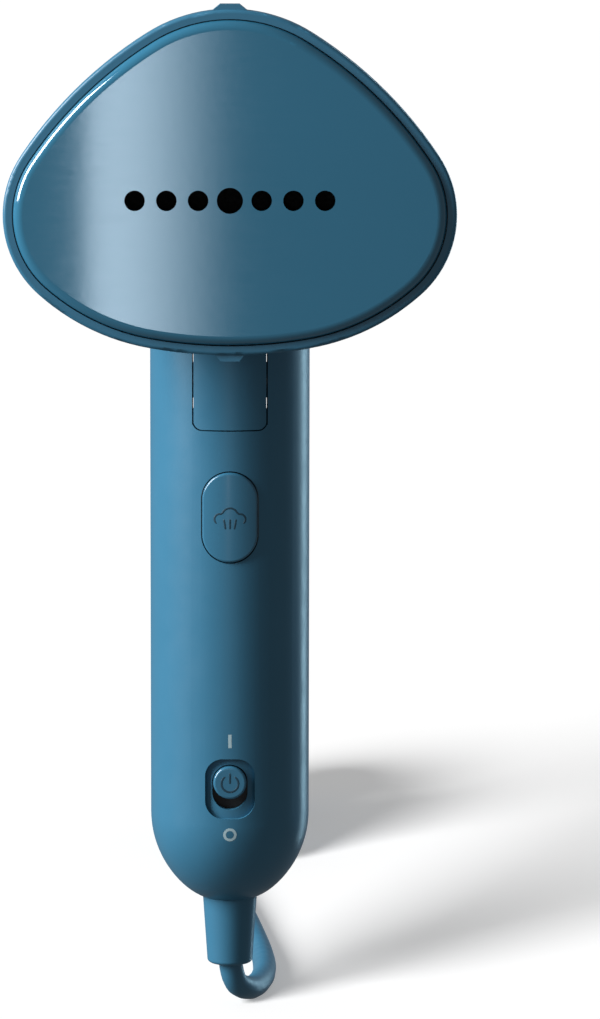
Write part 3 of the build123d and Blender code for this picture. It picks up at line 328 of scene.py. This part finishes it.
def winding(name, colour):
    """Enamelled wire wound round the pump: bands across the coil's axis."""
    tree = Tree(name)
    bands = tree.add("ShaderNodeTexWave", {"Vector": tree.place, "Scale": 420.0, "Distortion": 0.3},
                     bands_direction="X").outputs["Fac"]
    tone = tree.blend(bands, shade(colour, 0.45), shade(colour, 1.15))
    return tree.finish(
        Base_Color=tone,
        Metallic=0.85,
        Roughness=tree.remap(bands, 0.0, 1.0, 0.45, 0.3),
        Normal=tree.bump(bands, 0.0002, 0.8),
    )


def laminate(name, colour):
    """Coated glass-fibre board: a woven ground under green lacquer, with paler tracks."""
    tree = Tree(name)
    tracks = tree.add("ShaderNodeTexVoronoi", {"Vector": tree.place, "Scale": 210.0},
                      feature="DISTANCE_TO_EDGE").outputs["Distance"]
    tone = tree.blend(tree.remap(tracks, 0.03, 0.06, 0.0, 1.0), shade(colour, 1.9), shade(colour, 1.0))
    weave = tree.bump(tree.noise(1500.0), 0.00001, 0.4)
    gloss = tree.remap(tree.noise(300.0), 0.3, 0.7, 0.3, 0.42)
    return tree.finish(Base_Color=tone, Roughness=gloss, Normal=weave)


# Which finish each piece of the frame takes

HOUSING = ("head_front_housing", "filler_door")
HANDLE = ("handle_front_shell", "handle_rear_shell", "hinge_neck")
GLOSSY = ("steam_button", "power_knob")
FLEXIBLE = ("cord_guard", "plug_relief", "plug_body")
JACKET = ("cord_inner_length",)
TANK = ("tank_front", "tank_shell")
MARKS = ("switch_marks",)
STEEL = ("heating_element", "thermal_fuse", "heat_shield", "head_screws", "pump_piston", "filler_door_pin",
         "handle_screws", "hinge_pins", "button_bracket", "board_screws", "cord_clamp_screws")
SPRINGS = ("detent_spring", "pump_spring", "button_spring")
SILICONE = ("plate_seal", "chamber_gasket", "dock_ring", "suction_hose", "pressure_hose", "tank_valve",
            "filler_seal")
BLACK = ("head_rear_cover", "pump_body", "micro_switch", "slide_carriage", "power_switch",
         "board_components", "cord_tie")
CASTINGS = ("steam_chamber_base", "steam_chamber_cover", "chamber_screws")
WHITE = ("thermostat", "hinge_bushes", "switch_plunger", "terminal_block", "cord_clamp")
SLEEVES = ("head_harness", "handle_harness")


def dress(names, material):
    """Give each named piece of the frame this one material."""
    for name in names:
        node = NODES[name]
        node.data.materials.clear()
        node.data.materials.append(material)


class SteamerSettings(bpy.types.PropertyGroup):
    body_colour: FloatVectorProperty(
        name="Body colour", description="Colour of the handle and head housing", subtype="COLOR",
        default=(0.03, 0.132, 0.22), min=0.0, max=1.0)
    plate_colour: FloatVectorProperty(
        name="Plate colour", description="Colour of the steam plate's coating", subtype="COLOR",
        default=(0.026, 0.138, 0.23), min=0.0, max=1.0)
    mark_colour: FloatVectorProperty(
        name="Mark colour", description="Colour of the on and off marks", subtype="COLOR",
        default=(0.32, 0.45, 0.5), min=0.0, max=1.0)
    body_gloss: FloatProperty(
        name="Body roughness", description="Roughness of the moulded body", default=0.36, min=0.05, max=1.0)
    floor_size: FloatProperty(
        name="Floor size", description="Width of the plain floor", default=16.0, min=1.0, unit="LENGTH")


CAMERA_DISTANCE = 1400.0
CAMERA_TILT = 8.0           # degrees down
CAMERA_LENS = 177.0
CAMERA_SHIFT = 0.0688       # the steamer stands left of the middle
CAMERA_TARGET = 111.5       # height of the middle of the view


class STEAMER_OT_camera(bpy.types.Operator):
    """Set the camera in front of the steamer, a little above it"""
    bl_idname = "steamer.camera"
    bl_label = "Camera"

    def execute(self, context):
        tilt = math.radians(CAMERA_TILT)
        target = row(0.0, 0.0, CAMERA_TARGET)
        data = bpy.data.cameras.new("camera")
        data.lens = CAMERA_LENS
        data.shift_x = CAMERA_SHIFT
        data.clip_end = 60.0
        camera = bpy.data.objects.new("camera", data)
        camera.location = target + Vector((0, -math.cos(tilt), math.sin(tilt))) * CAMERA_DISTANCE * MM
        camera.rotation_euler = (math.pi / 2 - tilt, 0.0, 0.0)
        context.scene.collection.objects.link(camera)
        context.scene.camera = camera
        return {"FINISHED"}


class STEAMER_OT_cord(bpy.types.Operator):
    """Lay the cord from the guard along the floor to its tied hank and up into the plug"""
    bl_idname = "steamer.cord"
    bl_label = "Cord"

    def execute(self, context):
        points = list(CORD_ROUTE)
        for count in range(HANK_HALF_TURNS):
            points += half_turn(count)
        points += TAIL_ROUTE
        curve = bpy.data.curves.new("cord", "CURVE")
        curve.dimensions = "3D"
        curve.bevel_depth = CORD_RADIUS * MM
        curve.bevel_resolution = 5
        curve.resolution_u = 8
        curve.use_fill_caps = True
        spline = curve.splines.new("NURBS")
        spline.points.add(len(points) - 1)
        for point, place in zip(spline.points, points):
            point.co = (*row(*place), 1.0)
        spline.order_u = 3
        spline.use_endpoint_u = True
        cord = bpy.data.objects.new("cord", curve)
        context.scene.collection.objects.link(cord)
        colour = context.scene.steamer.body_colour
        curve.materials.append(soft_rubber("cord_jacket", shade(colour, 1.0), 0.42, 1600.0))
        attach(cord, "handle")
        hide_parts("power_cord", "cord_hank", "cord_tail")
        on_cord = [NODES[name] for name in ("plug_relief", "plug_body", "plug_pins")]
        on_cord.append(bpy.data.objects["cord_strap"])
        return {"FINISHED"}


class STEAMER_OT_finishes(bpy.types.Operator):
    """Give every piece of the frame its material"""
    bl_idname = "steamer.finishes"
    bl_label = "Finishes"

    def execute(self, context):
        settings = context.scene.steamer
        body = tuple(settings.body_colour)
        dress(HOUSING, moulded("housing_plastic", body, settings.body_gloss))
        dress(HANDLE, moulded("handle_plastic", body, settings.body_gloss))
        dress(GLOSSY, moulded("button_plastic", body, 0.24, coat=0.3))
        dress(FLEXIBLE, moulded("guard_plastic", body, 0.42, grain=1800.0))
        dress(JACKET, soft_rubber("inner_jacket", body, 0.42))
        dress(TANK, tinted_tank("tank_plastic", shade(body, 1.2)))
        dress(("steam_plate",), coated_plate("plate_coating", tuple(settings.plate_colour)))
        dress(MARKS, moulded("mark_ink", tuple(settings.mark_colour), 0.5, grain=2500.0))
        dress(CASTINGS, casting_with_painted_shade("cast_aluminium", (0.55, 0.56, 0.58)))
        dress(STEEL, metal("plated_steel", (0.56, 0.56, 0.58), 0.3, (1.0, 1.0, 12.0)))
        dress(SPRINGS, metal("spring_wire", (0.5, 0.5, 0.52), 0.28, (6.0, 6.0, 1.0)))
        dress(("plug_pins",), metal("pin_plating", (0.72, 0.7, 0.66), 0.2, (1.0, 9.0, 1.0)))
        dress(SILICONE, soft_rubber("silicone", (0.62, 0.62, 0.6), 0.5))
        dress(BLACK, moulded("black_plastic", (0.016, 0.017, 0.019), 0.45))
        dress(WHITE, moulded("white_plastic", (0.68, 0.67, 0.63), 0.4))
        dress(SLEEVES, soft_rubber("wire_sleeve", (0.03, 0.03, 0.033), 0.6, 1500.0))
        dress(("pump_coil", "cord_conductors"), winding("copper_winding", (0.62, 0.3, 0.14)))
        dress(("circuit_board",), laminate("circuit_laminate", (0.012, 0.12, 0.045)))
        return {"FINISHED"}


BUTTON_CENTRE = 112.35
BUTTON_FACE = 22.9          # radius of the button's curved face about the handle's axis
BUTTON_MARK_WIDTH = 0.55
STEAM_LINE_SPACING = 1.55
STEAM_LINE_LEAN = 0.35      # how far an outer line's foot stands in from its spacing
KNOB_CENTRE = 38.1
KNOB_FACE = -22.5
KNOB_MARK_WIDTH = 0.6


def button_depth(x):
    """Depth of the button's face: the front of a cylinder about the handle's axis."""
    return -np.sqrt(BUTTON_FACE ** 2 - x ** 2)


def knob_depth(x):
    """Depth of the knob's flat face."""
    return np.full_like(x, KNOB_FACE)


class STEAMER_OT_symbols(bpy.types.Operator):
    """Mark the button with a cloud of steam and the knob with the power symbol"""
    bl_idname = "steamer.symbols"
    bl_label = "Symbols"

    def execute(self, context):
        body = tuple(context.scene.steamer.body_colour)
        ink = moulded("symbol_ink", shade(body, 0.3), 0.5, grain=2500.0)
        lobe = arc((-2.75, BUTTON_CENTRE - 0.4), 1.5, 235, 78)
        crown = arc((0.0, BUTTON_CENTRE + 0.5), 2.2, 152, 28)
        right = lobe[::-1] * (-1.0, 1.0)
        steam = {"steam_cloud": np.concatenate([lobe, crown, right])}
        for count, place in enumerate((-1, 0, 1)):
            middle, lean = place * STEAM_LINE_SPACING, -place * STEAM_LINE_LEAN
            heights = np.linspace(BUTTON_CENTRE - 3.2, BUTTON_CENTRE - 0.3, 10)
            slant = np.linspace(middle + lean, middle - lean * 0.4, 10)
            steam[f"steam_line_{count + 1}"] = np.stack([slant, heights], axis=-1)
        for name, path in steam.items():
            points = stroke(path, BUTTON_MARK_WIDTH, button_depth)
            surface(name, points, ink, "button", closed_across=True)
        bar_heights = np.linspace(KNOB_CENTRE - 0.3, KNOB_CENTRE + 2.9, 10)
        power = {
            "power_ring": arc((0.0, KNOB_CENTRE - 0.2), 2.35, 122, 418, 40),
            "power_bar": np.stack([np.zeros(10), bar_heights], axis=-1),
        }
        for name, path in power.items():
            points = stroke(path, KNOB_MARK_WIDTH, knob_depth)
            surface(name, points, ink, "power_slide", closed_across=True)
        return {"FINISHED"}


class STEAMER_OT_strap(bpy.types.Operator):
    """Put a soft strap round the middle of the cord's hank"""
    bl_idname = "steamer.strap"
    bl_label = "Cord strap"

    def execute(self, context):
        low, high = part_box("cord_tie")
        middle, half = (low + high) / 2 / MM, (high - low) / 2 / MM
        centre = np.array((middle.x, middle.y, middle.z + GRIP_HEIGHT))
        weave = soft_rubber("strap_weave", (0.02, 0.02, 0.022), 0.7, 2600.0)
        strap = surface("cord_strap", strap_points(centre, half), weave, "handle",
                        closed_along=True, closed_across=True)
        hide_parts("cord_tie")
        return {"FINISHED"}


STRAP_THICKNESS = 1.1
STRAP_EDGE = 0.2            # how far the strap stops inside the tie's width, at each side


def strap_points(centre, half, around=72):
    """A loop round a rounded box, with half sizes (x, y, z).

    Across and up it follows a superellipse of power four: each half size times the root of the cosine or of
    the sine. Its section is a flat oval whose long side lies along the cord."""
    turn = np.linspace(0.0, 2 * np.pi, around, endpoint=False)
    cosine, sine = np.cos(turn), np.sin(turn)
    loop_x = (half[0] - STRAP_THICKNESS / 2) * np.sign(cosine) * np.abs(cosine) ** 0.5
    loop_z = (half[2] - STRAP_THICKNESS / 2) * np.sign(sine) * np.abs(sine) ** 0.5
    out = np.stack([cosine * np.abs(cosine), sine * np.abs(sine)], axis=-1)
    out /= np.linalg.norm(out, axis=1, keepdims=True)
    section = np.linspace(0.0, 2 * np.pi, 16, endpoint=False)
    across = np.sign(np.cos(section)) * np.abs(np.cos(section)) ** 0.3 * (half[1] - STRAP_EDGE)
    thick = np.sin(section) * STRAP_THICKNESS / 2
    x = loop_x[:, None] + out[:, :1] * thick
    z = loop_z[:, None] + out[:, 1:] * thick
    y = np.broadcast_to(across, x.shape)
    return np.stack([x, y, z], axis=-1) + centre


def area_light(name, place, aim, size, power, fade=None, tint=(1.0, 1.0, 1.0)):
    """A soft rectangular light, placed and aimed in metres.

    A fade is the pair of shares of its width at which it is dark and at which it is fully bright."""
    data = bpy.data.lights.new(name, "AREA")
    data.shape = "RECTANGLE"
    data.size, data.size_y = size
    data.energy = power
    data.color = tint
    light = bpy.data.objects.new(name, data)
    light.location = place
    light.rotation_euler = (Vector(aim) - Vector(place)).to_track_quat("-Z", "Y").to_euler()
    light.visible_camera = False
    bpy.context.scene.collection.objects.link(light)
    if fade:
        data.use_nodes = True
        nodes, links = data.node_tree.nodes, data.node_tree.links
        across = nodes.new("ShaderNodeNewGeometry").outputs["Parametric"]
        split = nodes.new("ShaderNodeSeparateXYZ")
        ramp = nodes.new("ShaderNodeMapRange")
        ramp.interpolation_type = "SMOOTHSTEP"
        ramp.inputs["From Min"].default_value, ramp.inputs["From Max"].default_value = fade
        links.new(across, split.inputs[0])
        links.new(split.outputs[0], ramp.inputs[0])
        links.new(ramp.outputs[0], nodes["Emission"].inputs["Strength"])
    return light


WHITE_LIGHT = (1.0, 1.0, 1.0, 1.0)
FLOOR_GLOW = 0.3            # brings the lit floor up to white
SKY_STRENGTH = 0.17
SUN_STRENGTH = 5.8
SUN_ANGLE = 24.0            # degrees: how soft the floor's shadow is
SUN_TRAVEL = (0.52, 0.8, -0.42)


class STEAMER_OT_stage(bpy.types.Operator):
    """Set a plain pale floor, a dim sky and the soft studio lights"""
    bl_idname = "steamer.stage"
    bl_label = "Stage and lights"

    def execute(self, context):
        half = context.scene.steamer.floor_size / 2
        height = (FLOOR - GRIP_HEIGHT) * MM
        mesh = bpy.data.meshes.new("floor")
        corners = [(x * half, y * half, height) for x, y in ((-1, -1), (1, -1), (1, 1), (-1, 1))]
        mesh.from_pydata(corners, [], [(0, 1, 2, 3)])
        floor = bpy.data.objects.new("floor", mesh)
        floor.visible_diffuse = False
        floor.visible_glossy = False
        context.scene.collection.objects.link(floor)
        tree = Tree("floor_paper")
        tone = tree.blend(tree.noise(6.0), (0.78, 0.78, 0.78, 1.0), (0.8, 0.8, 0.8, 1.0))
        paper = tree.finish(
            Base_Color=tone,
            Roughness=0.95,
            Emission_Color=WHITE_LIGHT,
            Emission_Strength=FLOOR_GLOW,
            Specular_IOR_Level=0.0,
        )
        mesh.materials.append(paper)
        world = bpy.data.worlds.new("studio")
        world.use_nodes = True
        sky = world.node_tree.nodes["Background"]
        sky.inputs["Color"].default_value = WHITE_LIGHT
        sky.inputs["Strength"].default_value = SKY_STRENGTH
        context.scene.world = world
        context.scene.view_settings.view_transform = "Standard"
        middle = (0.0, 0.0, 0.05)
        card_place, card_aim = (-0.032, -1.2, 0.04), (-0.032, 0.0, 0.04)
        pieces_only = [
            area_light("key", (-1.35, -0.45, 0.75), middle, (0.7, 1.1), 66.0),
            area_light("rim", (0.62, 0.62, 0.2), middle, (0.16, 1.3), 6.5, tint=(0.5, 0.82, 1.0)),
            area_light("plate_card", card_place, card_aim, (0.079, 0.28), 0.43, fade=(1.0, 0.1)),
        ]
        sun_data = bpy.data.lights.new("floor_light", "SUN")
        sun_data.energy = SUN_STRENGTH
        sun_data.angle = math.radians(SUN_ANGLE)
        sun = bpy.data.objects.new("floor_light", sun_data)
        sun.rotation_euler = Vector(SUN_TRAVEL).to_track_quat("-Z", "Y").to_euler()
        context.scene.collection.objects.link(sun)
        # The sun lights only the floor, and every other light leaves the floor out.
        with_floor = bpy.data.collections.new("lit_by_floor_light")
        with_floor.objects.link(floor)
        sun.light_linking.receiver_collection = with_floor
        without_floor = bpy.data.collections.new("lit_by_other_lights")
        without_floor.objects.link(floor)
        without_floor.collection_objects[0].light_linking.link_state = "EXCLUDE"
        for light in pieces_only:
            light.light_linking.receiver_collection = without_floor
        return {"FINISHED"}


class STEAMER_PT_panel(bpy.types.Panel):
    bl_label = "Garment Steamer"
    bl_idname = "STEAMER_PT_panel"
    bl_space_type = "VIEW_3D"
    bl_region_type = "UI"
    bl_category = "Steamer"

    def draw(self, context):
        for name in SteamerSettings.__annotations__:
            self.layout.prop(context.scene.steamer, name)
        for step in STEPS:
            self.layout.operator(step.bl_idname)


STEPS = (STEAMER_OT_camera, STEAMER_OT_strap, STEAMER_OT_cord, STEAMER_OT_finishes, STEAMER_OT_symbols,
         STEAMER_OT_stage)
CLASSES = (SteamerSettings, *STEPS, STEAMER_PT_panel)


def register():
    for item in CLASSES:
        bpy.utils.register_class(item)
    bpy.types.Scene.steamer = PointerProperty(type=SteamerSettings)


def unregister():
    del bpy.types.Scene.steamer
    for item in reversed(CLASSES):
        bpy.utils.unregister_class(item)


def main():
    register()
    for step in STEPS:
        group, name = step.bl_idname.split(".")
        getattr(getattr(bpy.ops, group), name)()


if __name__ == "__main__":
    main()
